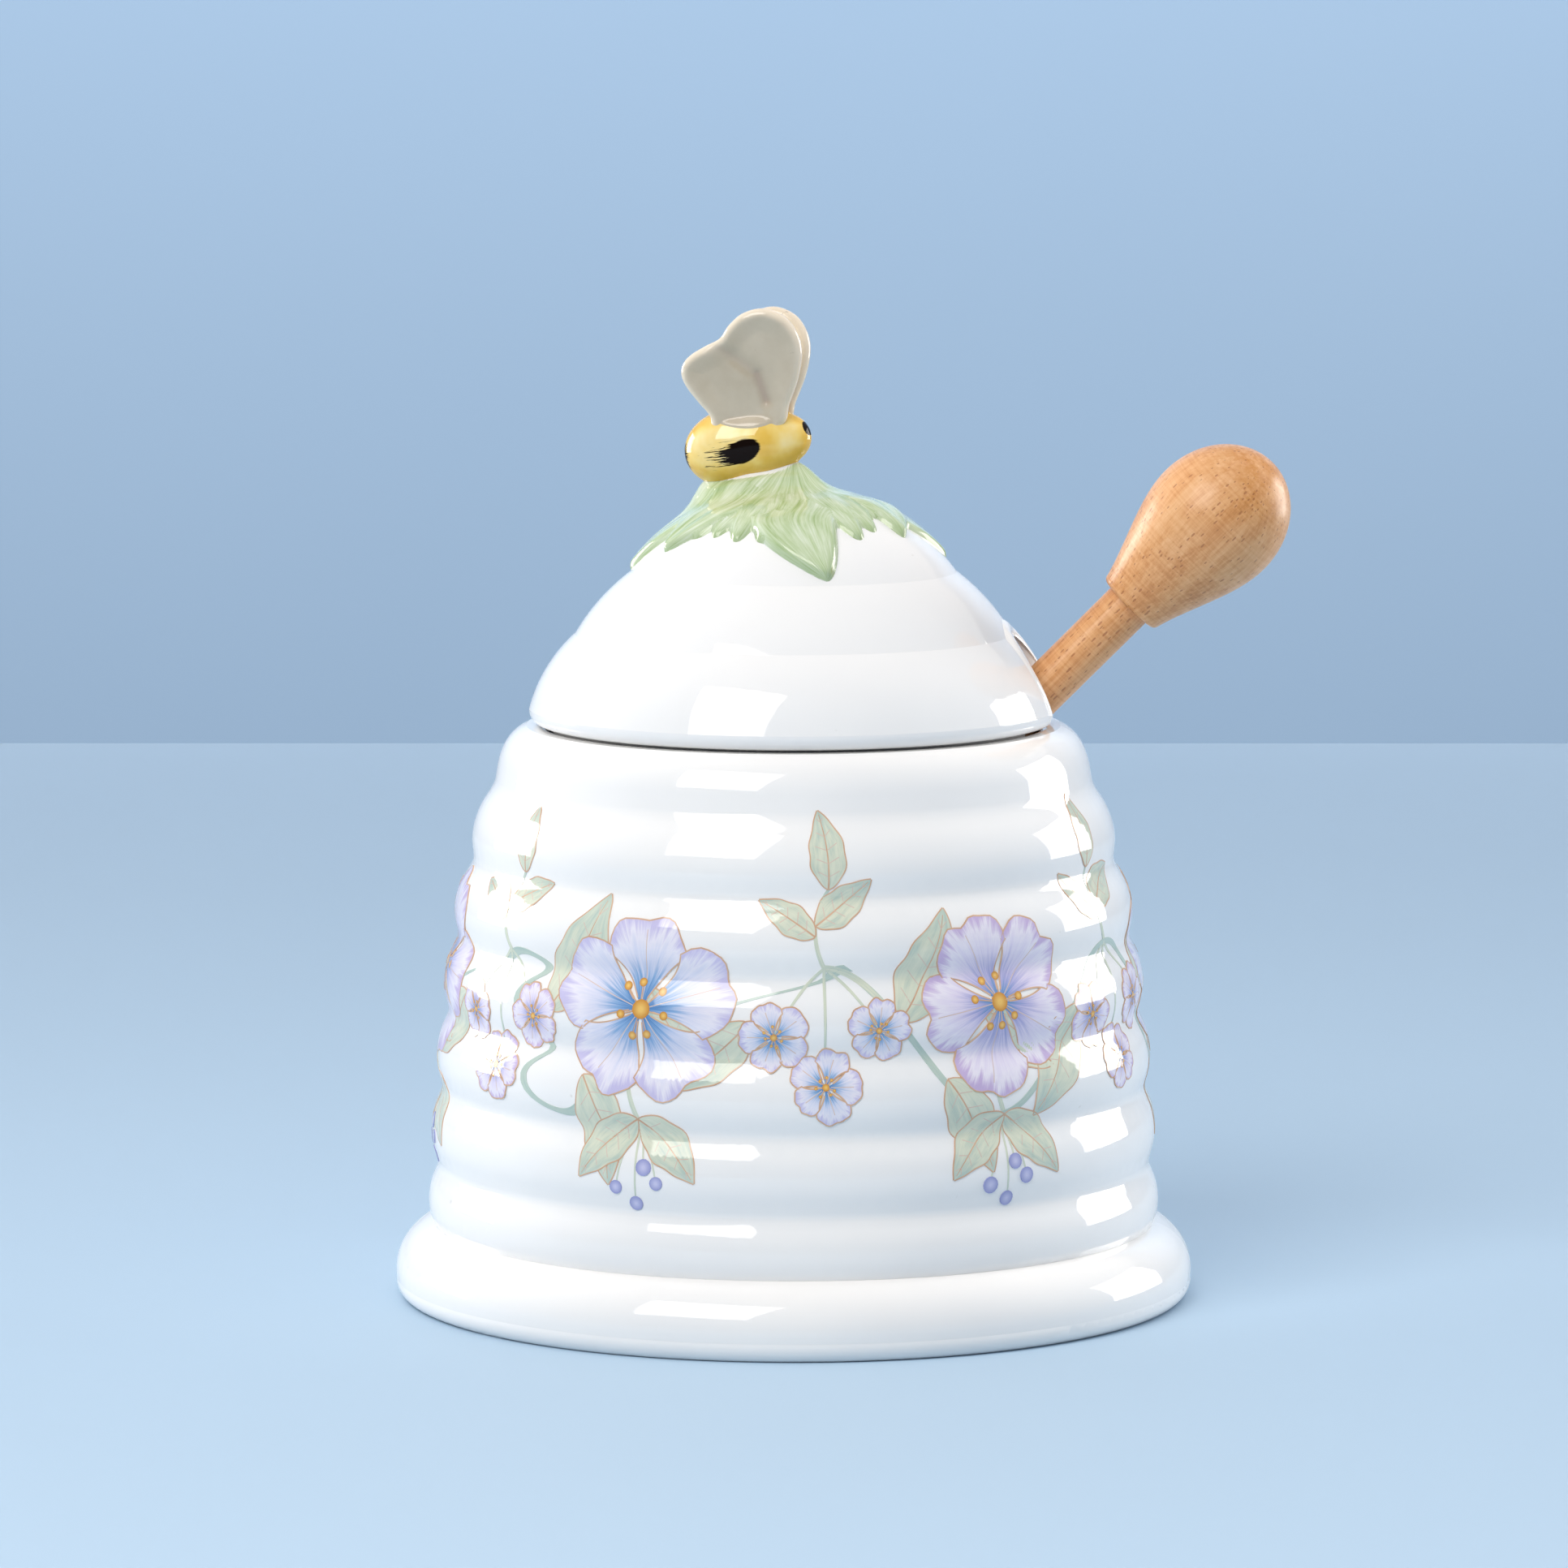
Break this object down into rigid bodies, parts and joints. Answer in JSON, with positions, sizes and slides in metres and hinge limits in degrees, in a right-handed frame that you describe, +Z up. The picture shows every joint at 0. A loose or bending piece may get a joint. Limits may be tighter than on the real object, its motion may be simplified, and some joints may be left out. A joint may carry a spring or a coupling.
{
  "type": "honey pot",
  "caption": "Ribbed porcelain honey pot with a flared foot, a domed lift-off lid topped by a bee on a leaf collar, and a turned wooden dipper through the lid's notch.",
  "frame": {"origin": "on the pot's axis, on the surface that its foot stands on", "axes": "+Z up along the pot's axis, +X towards the side where the dipper leans out, -Y the front"},
  "size_m": [0.1266, 0.1132, 0.1401],
  "materials": {
    "white_porcelain": "clear gloss glaze over white porcelain",
    "leaf_glaze": "brushed sage green underglaze, gloss",
    "bee_glaze": "brushed golden yellow underglaze, gloss",
    "wing_glaze": "pale cream glaze, gloss",
    "beech_wood": "sanded, lightly oiled beech"
  },
  "bodies": {
    "pot": {"pot_body": "white_porcelain"},
    "lid": {"lid_shell": "white_porcelain", "leaf_front": "leaf_glaze", "leaf_left": "leaf_glaze", "leaf_back": "leaf_glaze", "leaf_right": "leaf_glaze", "leaf_front_left": "leaf_glaze", "leaf_front_right": "leaf_glaze", "leaf_back_left": "leaf_glaze", "leaf_back_right": "leaf_glaze", "leaf_left_front": "leaf_glaze", "bee_body": "bee_glaze", "bee_wing_near": "wing_glaze", "bee_wing_far": "wing_glaze"},
    "dipper": {"dipper_grip": "beech_wood", "dipper_shaft": "beech_wood", "dipper_head": "beech_wood"}
  },
  "joints": [
    {"name": "lid_lift", "type": "slide", "parent": "pot", "child": "lid", "axis": [0, 0, 1], "range_m": [0, 0.07]},
    {"name": "dipper_draw", "type": "slide", "parent": "pot", "child": "dipper", "axis": [0.7055, 0, 0.7087], "range_m": [0, 0.06]}
  ]
}
